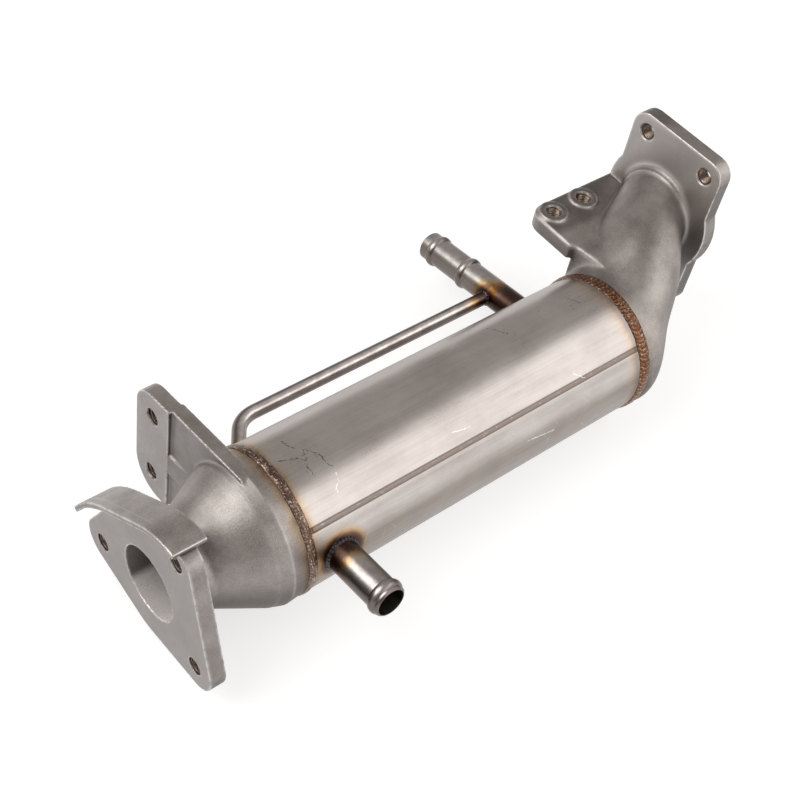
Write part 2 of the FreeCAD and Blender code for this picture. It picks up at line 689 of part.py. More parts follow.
def bleed_path(body):
    """The middle line of the bleed tube: leg, bend and long run."""
    slope = bleed_angle
    depth = bleed_offset - shell_radius
    setback = bleed_bend * (Size(1, "1") - cosine(slope)) / sine(slope)
    knee_x = bleed_foot + depth * cosine(slope) / sine(slope)
    foot_drop = shell_wall + bleed_wall
    path = new_sketch(body, "XY_Plane")
    start = (bleed_foot - foot_drop * cosine(slope) / sine(slope), shell_radius - foot_drop)
    bend_in = (knee_x - setback * cosine(slope), bleed_offset - setback * sine(slope))
    bend_out = (knee_x + setback, bleed_offset)
    end = (outlet_spigot_x - spigot_radius + spigot_wall * 0.9, bleed_offset)
    spots = [Vector(x.value, y.value, 0) for x, y in (start, bend_in, bend_out, end)]
    middle = Vector(bend_out[0].value, bleed_offset.value - bleed_bend.value, 0)
    quarter = math.radians(90)
    arc = Part.ArcOfCircle(Part.Circle(middle, Vector(0, 0, 1), bleed_bend.value),
                           quarter, quarter + math.radians(slope.value))
    path.addGeometry(Part.LineSegment(spots[0], spots[1]), False)
    path.addGeometry(arc, False)
    path.addGeometry(Part.LineSegment(spots[2], spots[3]), False)
    path.addConstraint(Sketcher.Constraint("Coincident", 0, 2, 1, 2))
    path.addConstraint(Sketcher.Constraint("Coincident", 1, 1, 2, 1))
    pin_point(path, 0, 1, *start)
    pin_point(path, 0, 2, *bend_in)
    pin_point(path, 2, 1, *bend_out)
    pin_point(path, 2, 2, *end)
    set_radius(path, 1, bleed_bend)
    return path


def across_path(body, path):
    """A sketch square to the start of a path."""
    sketch = body.newObject("Sketcher::SketchObject", body.Name + "_section")
    sketch.AttachmentSupport = (path, ["Edge1"])
    sketch.MapMode = "NormalToEdge"
    return sketch


def swept(body, kind, sketch, path):
    feature = body.newObject("PartDesign::" + kind, body.Name + "_pipe")
    feature.Profile = sketch
    feature.Spine = path
    return feature


def make_shell():
    body = new_body("shell_tube")
    ring = new_sketch(body, "YZ_Plane", shell_start)
    add_circle(ring, 0, 0, shell_radius)
    add_circle(ring, 0, 0, shell_bore)
    pad(body, ring, shell_length)
    for x, side in ((inlet_spigot_x, True), (outlet_spigot_x, False)):
        hole = new_sketch(body, "XZ_Plane")
        add_circle(hole, x, 0, spigot_radius)
        cut = pocket(body, hole, shell_radius * 2)
        cut.Reversed = side
    leg = bleed_path(body)
    bore = across_path(body, leg)
    add_circle(bore, 0, 0, bleed_radius)
    swept(body, "SubtractivePipe", bore, leg)
    tilt_to_ports(body)
    return body


def make_round_seam(name, middle_x, width, height):
    """A weld bead of lens section round the joint of the shell and a casting."""
    body = new_body(name)
    section = new_sketch(body, "XY_Plane")
    half = width / 2
    crown = (half * half + height * height) / (height * 2)
    add_outline(section, [
        (middle_x - half, shell_radius),
        (middle_x + half, shell_radius, crown),
    ])
    turned(body, "Revolution", section)
    return body


def make_long_seam():
    """The flat bead along the rolled shell, between the two round seams."""
    body = new_body("shell_seam")
    start = shell_start + inlet_seam_width / 2
    end = shell_end + outlet_seam_shift - outlet_seam_width / 2
    strip = new_sketch(body, "YZ_Plane", start)
    half_angle = long_seam_width.value / shell_radius.value / 2
    half = Size(math.sin(half_angle), "sin(%s / %s / 2 * 1rad)" % (
        long_seam_width.formula, shell_radius.formula)) * shell_radius
    drop = Size(math.cos(half_angle), "cos(%s / %s / 2 * 1rad)" % (
        long_seam_width.formula, shell_radius.formula)) * shell_radius
    top = shell_radius - drop + long_seam_height
    crown = (half * half + top * top) / (top * 2)
    add_outline(strip, [
        (drop, -half, crown),
        (drop, half, -shell_radius),
    ])
    pad(body, strip, end - start)
    angle = port_tilt + long_seam_angle
    body.Placement.Rotation = FreeCAD.Rotation(Vector(1, 0, 0), angle.value)
    bind(body, "Placement.Rotation.Angle", angle * Size(1, "1deg"))
    return body


def make_spigot(name, along, reach, beads, side, bled):
    """A hose spigot with swaged beads, on the given side of the shell."""
    body = new_body(name)
    root = shell_radius - spigot_inset
    lift = bead_radius - spigot_radius
    half = bead_width / 2
    swell = (half * half + lift * lift) / (lift * 2)
    outline = [(spigot_radius - spigot_wall, root * side), (spigot_radius, root * side)]
    for bead in beads:
        outline.append((spigot_radius, bead * side, swell if side > 0 else -swell))
        outline.append((spigot_radius, (bead + bead_width) * side))
    outline.append((spigot_radius, (reach - 0.8) * side))
    outline.append((spigot_radius - 0.8, reach * side))
    outline.append((spigot_radius - spigot_wall, reach * side))
    section = new_sketch(body, "XY_Plane")
    add_outline(section, outline)
    turned(body, "Revolution", section, "V_Axis")
    if bled:
        hole = new_sketch(body, "YZ_Plane", -spigot_radius * 2)
        add_circle(hole, bleed_offset, 0, bleed_radius)
        pocket(body, hole, spigot_radius * 2)
    tilt_to_ports(body, along)
    return body


def make_spigot_weld(name, along, leg, side):
    """The fillet weld between a spigot and the round shell."""
    body = new_body(name)
    low = shell_radius - leg
    top = shell_radius + leg
    section = new_sketch(body, "XY_Plane")
    bulge = leg * (1.6 * side)
    add_outline(section, [
        (spigot_radius, low * side),
        (spigot_radius + leg, low * side),
        (spigot_radius + leg, (shell_radius - 0.4) * side, bulge),
        (spigot_radius, top * side),
    ])
    turned(body, "Revolution", section, "V_Axis")
    shell = new_sketch(body, "YZ_Plane", -shell_radius)
    add_circle(shell, 0, 0, shell_radius)
    pocket(body, shell, shell_radius * 2)
    tilt_to_ports(body, along)
    return body


def make_bleed_tube():
    body = new_body("bleed_tube")
    path = bleed_path(body)
    ring = across_path(body, path)
    add_circle(ring, 0, 0, bleed_radius)
    add_circle(ring, 0, 0, bleed_radius - bleed_wall)
    swept(body, "AdditivePipe", ring, path)
    tilt_to_ports(body)
    return body


# Tube bundle inside the shell

def tube_places():
    """Centres of the gas tubes: five rows on a triangular pitch."""
    row_rise = math.sqrt(3) / 2
    places = []
    for row in (-2, -1, 0, 1, 2):
        in_row = 5 - abs(row)
        for spot in range(in_row):
            places.append((spot - (in_row - 1) / 2, row * row_rise))
    return places


def plate_with_holes(name, start, thick, edge_radius, hole_radius, cut_side=0):
    body = new_body(name)
    disc = new_sketch(body, "YZ_Plane", start)
    if cut_side:
        level = baffle_cut * cut_side
        half = math.sqrt(edge_radius.value ** 2 - level.value ** 2)
        corner = math.atan2(level.value, half)
        turn = (math.pi - corner, 2 * math.pi + corner)
        if cut_side < 0:
            turn = (corner, math.pi - corner)
        circle = Part.Circle(Vector(0, 0, 0), Vector(0, 0, 1), edge_radius.value)
        disc.addGeometry(Part.ArcOfCircle(circle, *turn), False)
        ends = [Vector(half * side, level.value, 0) for side in (1, -1)]
        disc.addGeometry(Part.LineSegment(*ends), False)
        for line_end, arc_end in ((1, 2), (2, 1)) if cut_side > 0 else ((1, 1), (2, 2)):
            disc.addConstraint(Sketcher.Constraint("Coincident", 1, line_end, 0, arc_end))
        disc.addConstraint(Sketcher.Constraint("Horizontal", 1))
        pin_point(disc, 0, 3, 0, 0)
        set_radius(disc, 0, edge_radius)
        across = disc.addConstraint(
            Sketcher.Constraint("DistanceY", -1, 1, 1, 1, level.value))
        bind(disc, "Constraints[%d]" % across, level)
    else:
        add_circle(disc, 0, 0, edge_radius)
    for share_y, share_z in tube_places():
        if cut_side * share_z * tube_pitch.value > baffle_cut.value:
            continue
        add_circle(disc, tube_pitch * share_y if share_y else 0,
                   tube_pitch * share_z if share_z else 0, hole_radius)
    pad(body, disc, thick)
    return body


def make_gas_tube(number, share_y, share_z):
    body = new_body("gas_tube_%02d" % number)
    ring = new_sketch(body, "YZ_Plane", tube_start)
    add_circle(ring, 0, 0, tube_radius)
    add_circle(ring, 0, 0, tube_radius - tube_wall)
    pad(body, ring, tube_end - tube_start)
    bind(body, "Placement.Base.y", tube_pitch * share_y)
    bind(body, "Placement.Base.z", tube_pitch * share_z)
    return body


pieces = [make_inlet_flange(), make_inlet_bell(), make_bracket(), make_outlet_duct(),
          make_outlet_flange(), make_outlet_ear(), make_shell()]
pieces.append(make_round_seam("inlet_seam", shell_start, inlet_seam_width,
                              inlet_seam_height))
pieces.append(make_round_seam("outlet_seam", shell_end + outlet_seam_shift,
                              outlet_seam_width, outlet_seam_height))
pieces.append(make_long_seam())
pieces.append(make_spigot("coolant_inlet_spigot", inlet_spigot_x, inlet_spigot_reach,
                          [inlet_bead], -1, False))
pieces.append(make_spigot("coolant_outlet_spigot", outlet_spigot_x, outlet_spigot_reach,
                          [outlet_bead_near, outlet_bead_far], 1, True))
pieces.append(make_spigot_weld("inlet_spigot_weld", inlet_spigot_x, inlet_spigot_leg, -1))
pieces.append(make_spigot_weld("outlet_spigot_weld", outlet_spigot_x, outlet_spigot_leg, 1))
pieces.append(make_bleed_tube())
pieces.append(plate_with_holes("inlet_tube_plate", inlet_plate_x, header_thick,
                               shell_bore, tube_radius))
pieces.append(plate_with_holes("outlet_tube_plate", outlet_plate_x, header_thick,
                               shell_bore, tube_radius))
pieces.append(plate_with_holes("baffle_1", baffle_one_x, baffle_thick,
                               shell_bore - baffle_gap, tube_radius + tube_gap, 1))
pieces.append(plate_with_holes("baffle_2", baffle_two_x, baffle_thick,
                               shell_bore - baffle_gap, tube_radius + tube_gap, -1))
for number, (share_y, share_z) in enumerate(tube_places(), 1):
    pieces.append(make_gas_tube(number, share_y, share_z))

doc.recompute()

# Every feature and every piece has to be sound before anything is written

for item in doc.Objects:
    if "Invalid" in item.State or "Error" in item.State:
        raise RuntimeError("%s failed: %s" % (item.Name, item.State))
os.makedirs("parts", exist_ok=True)
for piece in pieces:
    shape = piece.Shape
    if shape.isNull() or not shape.isValid():
        raise RuntimeError(piece.Label + " has no valid shape")
    shape.exportStep(os.path.join("parts", piece.Label + ".step"))
    print("%-24s solids %d  volume %.0f" % (piece.Label, len(shape.Solids), shape.Volume))
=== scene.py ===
import math
import random

import bmesh
import bpy
import numpy as np
from mathutils import Matrix, Vector, noise


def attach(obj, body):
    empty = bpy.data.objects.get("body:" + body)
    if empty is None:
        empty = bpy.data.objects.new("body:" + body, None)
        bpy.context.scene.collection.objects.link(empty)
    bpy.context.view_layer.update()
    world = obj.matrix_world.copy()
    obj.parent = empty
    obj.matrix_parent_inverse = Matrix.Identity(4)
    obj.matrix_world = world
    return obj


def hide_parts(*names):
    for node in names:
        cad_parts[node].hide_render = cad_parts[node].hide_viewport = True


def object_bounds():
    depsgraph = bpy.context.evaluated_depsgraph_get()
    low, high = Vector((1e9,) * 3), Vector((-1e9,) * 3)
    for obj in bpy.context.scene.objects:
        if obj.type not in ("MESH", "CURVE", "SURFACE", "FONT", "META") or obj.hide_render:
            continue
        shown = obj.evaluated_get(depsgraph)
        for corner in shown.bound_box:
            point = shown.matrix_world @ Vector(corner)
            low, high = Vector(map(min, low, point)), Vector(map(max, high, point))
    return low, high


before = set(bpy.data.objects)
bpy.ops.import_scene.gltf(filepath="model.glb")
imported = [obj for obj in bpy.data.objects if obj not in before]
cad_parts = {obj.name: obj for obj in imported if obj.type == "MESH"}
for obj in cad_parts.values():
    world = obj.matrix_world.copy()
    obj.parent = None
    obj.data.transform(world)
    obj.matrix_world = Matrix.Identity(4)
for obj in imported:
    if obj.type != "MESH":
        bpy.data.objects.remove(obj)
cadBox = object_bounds()
scene = bpy.context.scene
mm = 0.001
print("frame loaded,", len(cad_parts), "solids")


# Wiring helpers: a Finish is one material, and its methods add nodes to it

nodeLayout = {"columns": 12, "width": 200, "height": 260}


class Finish:
    def __init__(self, name):
        self.material = bpy.data.materials.new(name)
        self.material.use_nodes = True
        self.tree = self.material.node_tree
        self.tree.nodes.clear()
        self.column = 0
        # place on the part, in millimetres
        place = self.node("ShaderNodeTexCoord")
        self.place = self.vector("SCALE", place.outputs["Object"], scale=1000.0)
        split = self.node("ShaderNodeSeparateXYZ")
        self.put(split.inputs[0], self.place)
        self.x, self.y, self.z = split.outputs
        self.axes = dict(zip("xyz", split.outputs))
        self.facing = place.outputs["Normal"]

    def node(self, kind, **settings):
        made = self.tree.nodes.new(kind)
        self.column += 1
        row, column = divmod(self.column, nodeLayout["columns"])
        made.location = (column * nodeLayout["width"], -row * nodeLayout["height"])
        for key, value in settings.items():
            setattr(made, key, value)
        return made

    def put(self, socket, value):
        if isinstance(value, bpy.types.NodeSocket):
            self.tree.links.new(value, socket)
        else:
            socket.default_value = value

    def calc(self, operation, *values, clamp=False):
        made = self.node("ShaderNodeMath", operation=operation, use_clamp=clamp)
        for socket, value in zip(made.inputs, values):
            self.put(socket, value)
        return made.outputs[0]

    def plus(self, first, second):
        return self.calc("ADD", first, second)

    def minus(self, first, second):
        return self.calc("SUBTRACT", first, second)

    def times(self, first, second):
        return self.calc("MULTIPLY", first, second)

    # 1 less the value
    def rest(self, value):
        return self.calc("SUBTRACT", 1.0, value)

    def vector(self, operation, *values, scale=None):
        made = self.node("ShaderNodeVectorMath", operation=operation)
        for socket, value in zip(made.inputs, values):
            self.put(socket, value)
        if scale is not None:
            self.put(made.inputs["Scale"], scale)
        single = operation in ("LENGTH", "DISTANCE", "DOT_PRODUCT")
        return made.outputs["Value" if single else "Vector"]

    def combine(self, x, y, z):
        made = self.node("ShaderNodeCombineXYZ")
        for socket, value in zip(made.inputs, (x, y, z)):
            self.put(socket, value)
        return made.outputs[0]

    # 0 to 1 as the value goes from low to high, with soft ends
    def rise(self, value, low, high):
        made = self.node("ShaderNodeMapRange", interpolation_type="SMOOTHSTEP")
        self.put(made.inputs["Value"], value)
        self.put(made.inputs["From Min"], low)
        self.put(made.inputs["From Max"], high)
        return made.outputs["Result"]

    # 1 near the middle value and 0 beyond the reach on both sides
    def band(self, value, middle, reach):
        flat = 0.35 * reach
        away = self.calc("ABSOLUTE", self.minus(value, middle))
        return self.rest(self.rise(away, flat, reach))

    # 1 where the surface faces the given way and 0 where it turns from it
    def towards(self, way, low, high):
        return self.rise(self.vector("DOT_PRODUCT", self.facing, way), low, high)

    # painted shade: a dark tone over the colour on what turns away
    def shade(self, colour, way, low, high, dark, strength):
        turned = self.rest(self.towards(way, low, high))
        return self.blend(self.times(turned, strength), colour, dark)

    # noise drawn out to lines: each way has its own scale, and the seed picks the pattern
    def lines(self, along, alongScale, across, acrossScale, seed, scale, detail, rough=0.55):
        where = self.combine(
            self.times(along, alongScale), self.times(across, acrossScale), seed)
        return self.grain(where, scale, detail, rough)

    # slow noise in millimetres that shifts a distance up and down
    def wobble(self, scale, reach):
        return self.times(self.minus(self.grain(self.place, scale, 3.0), 0.5), reach)

    def grain(self, where, scale, detail=3.0, rough=0.55):
        made = self.node("ShaderNodeTexNoise")
        self.put(made.inputs["Vector"], where)
        self.put(made.inputs["Scale"], scale)
        self.put(made.inputs["Detail"], detail)
        self.put(made.inputs["Roughness"], rough)
        return made.outputs["Fac"]

    def cells(self, where, scale):
        made = self.node("ShaderNodeTexVoronoi")
        self.put(made.inputs["Vector"], where)
        self.put(made.inputs["Scale"], scale)
        return made.outputs["Distance"]

    def ramp(self, value, stops):
        made = self.node("ShaderNodeValToRGB")
        self.put(made.inputs[0], value)
        points = made.color_ramp.elements
        while len(points) < len(stops):
            points.new(0.5)
        for point, (where, colour) in zip(points, stops):
            point.position = where
            point.color = (*colour, 1)
        return made.outputs["Color"]

    def blend(self, share, under, over, mode="MIX"):
        made = self.node("ShaderNodeMix", data_type="RGBA", blend_type=mode)
        self.put(made.inputs["Factor"], share)
        # 6, 7 and 2 are this node's sockets for colours
        for socket, value in ((made.inputs[6], under), (made.inputs[7], over)):
            self.put(socket, (*value, 1) if isinstance(value, tuple) else value)
        return made.outputs[2]

    # the heat colours beside a weld, from 0 at the weld to 1 on clean metal
    def heat(self, colour, share, strength=1.0):
        return self.blend(strength, colour, self.ramp(share, tintStops), "MULTIPLY")

    def attribute(self, name):
        return self.node("ShaderNodeAttribute", attribute_name=name).outputs["Fac"]

    def bump(self, height, strength, distance, under=None):
        made = self.node("ShaderNodeBump")
        self.put(made.inputs["Height"], height)
        self.put(made.inputs["Strength"], strength)
        self.put(made.inputs["Distance"], distance)
        if under is not None:
            self.put(made.inputs["Normal"], under)
        return made.outputs["Normal"]

    def close(self, colour, roughness, normal=None, metallic=1.0, **fixed):
        shader = self.node("ShaderNodeBsdfPrincipled")
        self.put(shader.inputs["Base Color"], colour)
        self.put(shader.inputs["Roughness"], roughness)
        self.put(shader.inputs["Metallic"], metallic)
        for name, value in fixed.items():
            shader.inputs[name].default_value = value
        if normal is not None:
            self.put(shader.inputs["Normal"], normal)
        end = self.node("ShaderNodeOutputMaterial")
        self.put(end.inputs["Surface"], shader.outputs[0])
        return self.material


# heat colours of steel, from the weld outwards
tintStops = [
    (0.0, (0.16, 0.10, 0.075)),
    (0.10, (0.24, 0.17, 0.15)),
    (0.22, (0.46, 0.28, 0.15)),
    (0.42, (0.86, 0.64, 0.38)),
    (0.68, (1.0, 0.88, 0.72)),
    (1.0, (1.0, 1.0, 1.0)),
]


# distance of each point from a line through a point of the part, in millimetres
def fromLine(finish, point, direction):
    away = finish.vector("SUBTRACT", finish.place, tuple(point))
    along = finish.vector("DOT_PRODUCT", away, tuple(direction))
    foot = finish.vector("SCALE", tuple(direction), scale=along)
    return finish.vector("LENGTH", finish.vector("SUBTRACT", away, foot))


# the frame's lines that several pieces use, in millimetres
jacket = {"radius": 38.0, "start": 62.6, "end": 280.1}
ports = {
    "out": Vector((0.0, 0.990268, -0.139173)),      # the way that the outlet spigot points
    "inletX": 79.0,
    "outletX": 266.3,
    "radius": 8.3,
}
# a point on the line of each gas bore
gasBores = {"inlet": (0.0, 0.0, 0.0), "outlet": (372.0, 36.3, 35.4)}
inletHoles = [
    # centre of the low end, axis, depth, radius
    ((0.0, 38.1, -14.2), "x", 8.5, 4.5),
    ((0.0, -19.7, 39.9), "x", 8.5, 4.5),
    ((0.0, -37.6, -17.9), "x", 8.5, 4.5),
    ((46.0, 69.5, 15.0), "x", 8.2, 4.5),
    ((46.0, 69.5, -26.4), "x", 8.2, 4.5),
]
outletHoles = [
    ((354.0, 36.3 + sideY * 21.5, 35.4 + sideZ * 39.5), "x", 9.0, 4.5)
    for sideY in (-1, 1) for sideZ in (-1, 1)
] + [((x, 63.8, 25.4), "z", 11.1, 4.25) for x in (300.6, 323.8)]


# Castings: one skin is drawn over the solids, the inner corners are filled like a
# casting's, and the outer edges are eased and marked for wear

castings = {
    "voxel": 0.43,          # mm
    "cornerPasses": 28,
    "cornerStep": 0.9,
    "normalPasses": 10,     # corner passes between two looks at the normals
    "easePasses": 2,
    "easeStep": 0.5,
    "crisp": 0.12,          # share of the corner filling beside a plate
    "meltPasses": 90,
    "meltStep": 0.6,
    "holeReach": {"x": 5.6, "z": 5.4},      # mm round a hole's line that keep their shape
    "boreReach": {"inlet": 20.5, "outlet": 21.5},
    "boreDepth": 22,        # mm along the axis
    "wear": 9,              # how much an edge counts as worn
    "wearPasses": 2,
    "keep": 0.35,           # share of the faces that stay
    "inset": 1e-6,          # m inside the frame's box
}


def meshArrays(mesh):
    points = np.zeros(len(mesh.vertices) * 3)
    mesh.vertices.foreach_get("co", points)
    pairs = np.zeros(len(mesh.edges) * 2, int)
    mesh.edges.foreach_get("vertices", pairs)
    return points.reshape(-1, 3), pairs.reshape(-1, 2)


def averageOf(points, pairs, count):
    total = np.zeros_like(points)
    for near, far in ((0, 1), (1, 0)):
        for axis in range(3):
            total[:, axis] += np.bincount(pairs[:, near], points[pairs[:, far], axis], len(points))
    return total / count[:, None]


def vertexNormals(mesh):
    normals = np.zeros(len(mesh.vertices) * 3)
    mesh.vertex_normals.foreach_get("vector", normals)
    return normals.reshape(-1, 3)


# only the largest connected part of the skin is kept
def biggestPart(mesh):
    points, pairs = meshArrays(mesh)
    label = np.arange(len(points))
    while True:
        low = np.minimum(label[pairs[:, 0]], label[pairs[:, 1]])
        before = label.copy()
        np.minimum.at(label, pairs[:, 0], low)
        np.minimum.at(label, pairs[:, 1], low)
        label = label[label]
        if np.array_equal(before, label):
            break
    names, sizes = np.unique(label, return_counts=True)
    keep = names[sizes.argmax()]
    work = bmesh.new()
    work.from_mesh(mesh)
    work.verts.ensure_lookup_table()
    loose = [work.verts[i] for i in np.nonzero(label != keep)[0]]
    bmesh.ops.delete(work, geom=loose, context="VERTS")
    work.to_mesh(mesh)
    work.free()


# the piece takes the mesh that its modifiers make
def applyModifiers(piece):
    mesh = bpy.data.meshes.new_from_object(
        piece.evaluated_get(bpy.context.evaluated_depsgraph_get())
    )
    piece.modifiers.clear()
    piece.data = mesh
    return mesh


# end is "inlet" or "outlet"
def makeCasting(name, nodes, end, holes, crisp, melted, finish):
    work = bmesh.new()
    for node in nodes:
        work.from_mesh(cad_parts[node].data)
    bmesh.ops.remove_doubles(work, verts=work.verts, dist=1e-6)
    mesh = bpy.data.meshes.new(name)
    work.to_mesh(mesh)
    work.free()
    piece = bpy.data.objects.new(name, mesh)
    scene.collection.objects.link(piece)
    skin = piece.modifiers.new("skin", "REMESH")
    skin.mode = "VOXEL"
    skin.voxel_size = castings["voxel"] * mm
    skin.adaptivity = 0.0
    mesh = applyModifiers(piece)
    mesh.name = name
    biggestPart(mesh)

    points, pairs = meshArrays(mesh)
    count = np.maximum(np.bincount(pairs.ravel(), minlength=len(points)), 1)
    free = np.ones(len(points))
    kept = [(point, axis, castings["holeReach"][axis]) for point, axis, depth, radius in holes]
    kept.append((gasBores[end], "x", castings["boreReach"][end]))
    for point, axis, reach in kept:              # the bores and bolt holes keep their size
        away = points / mm - np.array(point)
        along = np.abs(away[:, "xyz".index(axis)])
        away[:, "xyz".index(axis)] = 0
        near = np.linalg.norm(away, axis=1) < reach
        free[near & (along < castings["boreDepth"])] = 0
    for node in crisp:                           # plates keep sharp inner corners
        corners = meshArrays(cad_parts[node].data)[0]
        inside = (points > corners.min(0) - mm) & (points < corners.max(0) + mm)
        free[inside.all(1)] *= castings["crisp"]
    for turn in range(castings["cornerPasses"]):
        if turn % castings["normalPasses"] == 0:
            mesh.vertices.foreach_set("co", points.ravel())
            mesh.update()
            normals = vertexNormals(mesh)
        pull = averageOf(points, pairs, count) - points
        along = np.clip((pull * normals).sum(1), 0, None) * free
        points = points + normals * along[:, None] * castings["cornerStep"]
    for turn in range(castings["easePasses"]):
        points = points + (averageOf(points, pairs, count) - points) * castings["easeStep"]
    for middle, reach in melted:                 # roots that run softly into the body
        near = 1 - np.linalg.norm(points / mm - np.array(middle), axis=1) / reach
        near = (np.clip(near * 2, 0, 1) * free)[:, None]
        for turn in range(castings["meltPasses"]):
            pull = averageOf(points, pairs, count) - points
            points = points + pull * castings["meltStep"] * near
    mesh.vertices.foreach_set("co", points.ravel())
    mesh.update()

    # how far each point stands out from its neighbours, for the worn edges
    normals = vertexNormals(mesh)
    stand = ((points - averageOf(points, pairs, count)) * normals).sum(1)
    stand = stand / (castings["voxel"] * mm)
    for turn in range(castings["wearPasses"]):
        stand = (stand + averageOf(stand[:, None].repeat(3, 1), pairs, count)[:, 0]) / 2
    edge = mesh.attributes.new("edge", "FLOAT", "POINT")
    edge.data.foreach_set("value", np.clip(stand * castings["wear"], 0, 1).astype(np.float32))
    thin = piece.modifiers.new("thin", "DECIMATE")
    thin.ratio = castings["keep"]
    mesh = applyModifiers(piece)
    low, high = np.array(cadBox[0]), np.array(cadBox[1])
    points = np.clip(meshArrays(mesh)[0], low + castings["inset"], high - castings["inset"])
    mesh.vertices.foreach_set("co", points.ravel())
    mesh.shade_smooth()
    mesh.materials.clear()
    mesh.materials.append(finish)
    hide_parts(*nodes)
    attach(piece, "root")
    print(name, "has", len(mesh.polygons), "faces")


castSteelLook = {
    "dark": (0.25, 0.225, 0.21),
    "light": (0.50, 0.465, 0.445),
    "edge": (0.78, 0.75, 0.73),
    "roughness": 0.44,
    # painted shade: the next tone and share darken undersides and steep sides that turn from
    # litWay
    "paintedShadeTone": (0.085, 0.075, 0.07),
    "paintedShadeShare": 0.94,         # on undersides and steep sides
    "litWay": (-0.25, 0.0, 0.95),
    "machinedDark": (0.31, 0.29, 0.28),
    "machinedLight": (0.41, 0.385, 0.37),
    "boreShadeTone": (0.11, 0.10, 0.095),
    "boreLitTone": (0.92, 0.87, 0.84),
    "holeDark": (0.035, 0.026, 0.022),
    "holeLight": (0.24, 0.17, 0.13),
}


# blasted cast steel; side is -1 at the inlet and 1 at the outlet, and tint is the strength
# of the heat colours beside the weld at seamX
def castSteel(name, seamX, side, tint, holes, flats):
    f, look = Finish(name), castSteelLook
    fine = f.grain(f.place, 1.9, 4.0, 0.7)
    grit = f.cells(f.place, 1.3)
    cloud = f.grain(f.place, 0.055, 5.0, 0.6)
    mottle = f.plus(f.times(fine, 0.5), f.times(cloud, 0.5))
    colour = f.blend(f.rise(mottle, 0.33, 0.68), look["dark"], look["light"])
    rough = f.plus(look["roughness"] - 0.08, f.times(fine, 0.2))
    height = f.plus(fine, f.times(grit, 0.6))
    normal = f.bump(height, 0.22, 0.00025)

    # machined faces: flatter, paler, with the cutter's fine rings; each flat's tone scales its
    # colour as painted light
    for centre, paintedTone in flats:
        face = f.band(f.x, centre[0], 0.45)
        rings = f.grain(f.combine(f.vector("DISTANCE", f.place, centre), 0.0, 0.0), 1.6, 2.0)
        dark = tuple(c * paintedTone for c in look["machinedDark"])
        light = tuple(c * paintedTone for c in look["machinedLight"])
        colour = f.blend(f.times(face, 0.55), colour, f.blend(rings, dark, light))
        rough = f.minus(rough, f.times(face, 0.10))

    # the reamed gas bore is smoother and has fine rings; its wall that faces up is painted bright
    # as painted light, the rest dark as painted shade, and it is less metallic
    if side < 0:
        inside = f.rest(f.rise(fromLine(f, gasBores["inlet"], (1, 0, 0)), 19.3, 19.9))
        bore = f.times(inside, f.calc("LESS_THAN", f.x, 21.0))
        rough = f.minus(rough, f.times(bore, 0.17))
        lit = f.plus(f.times(f.towards((0.0, 0.1, 1.0), 0.5, 0.72), 0.85),
                     f.times(f.grain(f.combine(f.x, 0.0, 0.0), 2.5, 2.0), 0.15))
        colour = f.blend(bore, colour, f.blend(lit, look["boreShadeTone"], look["boreLitTone"]))
        metal = f.rest(f.times(bore, 0.7))
    else:
        bore, metal = 0.0, 1.0
    # painted shade: faces turned from litWay take the dark tone, strongly on undersides and steep
    # sides
    turned = f.times(f.rest(f.towards(look["litWay"], -0.25, 0.75)), f.rest(bore))
    colour = f.blend(f.times(turned, look["paintedShadeShare"]), colour, look["paintedShadeTone"])

    # the ear's top is painted darker than the rest, as painted shade
    if side > 0:
        top = f.times(f.rise(f.y, 46.0, 53.0), f.towards((0.0, 0.0, 1.0), 0.8, 0.97))
        colour = f.blend(f.times(top, 0.5), colour, look["paintedShadeTone"])

    # heat colours beside the weld
    away = f.plus(f.times(f.minus(f.x, seamX), side), f.wobble(0.12, 7.0))
    colour = f.heat(colour, f.rise(away, -1.2, 9.0), tint)

    # the holes are brown inside, with the marks of the tap
    for point, axis, depth, radius in holes:
        direction = tuple(1.0 if axis == a else 0.0 for a in "xyz")
        near = f.rest(f.rise(fromLine(f, point, direction), radius + 0.1, radius + 0.8))
        turns = f.calc("SINE", f.times(f.axes[axis], 5.0))
        ridges = f.blend(f.rise(turns, -0.6, 0.8), look["holeDark"], look["holeLight"])
        colour = f.blend(f.times(near, 0.8), colour, ridges)
        normal = f.bump(f.times(turns, near), 0.6, 0.0004, normal)

    worn = f.times(f.attribute("edge"), f.rise(f.grain(f.place, 0.35, 3.0), 0.25, 0.55))
    colour = f.blend(f.times(worn, 0.65), colour, look["edge"])
    rough = f.minus(rough, f.times(worn, 0.14))
    return f.close(colour, rough, normal, metal)


# each flat is the centre of its rings and its tone, a painted light factor on the flat's colour
inletSteel = castSteel("inletCastSteel", jacket["start"], -1, 0.75, inletHoles, [
    ((0.0, 0.0, 0.0), 1.05), ((46.0, 69.5, -5.7), 1.1)])
outletSteel = castSteel("outletCastSteel", jacket["end"], 1, 0.25, outletHoles, [
    ((363.0, 36.3, 35.4), 1.2), ((354.0, 36.3, 35.4), 2.2)])

makeCasting("inletCasting", ["inlet_flange", "inlet_bell", "bracket"],
            "inlet", inletHoles, ["bracket"], [], inletSteel)
# the ear's root by the weld is a melted region: its middle and its reach
makeCasting("outletCasting", ["outlet_duct", "outlet_flange", "outlet_ear"],
            "outlet", outletHoles, [], [((293.0, 31.0, 34.0), 13.0)], outletSteel)


# Jacket: bright rolled stainless with lengthwise lines, scratches and heat marks

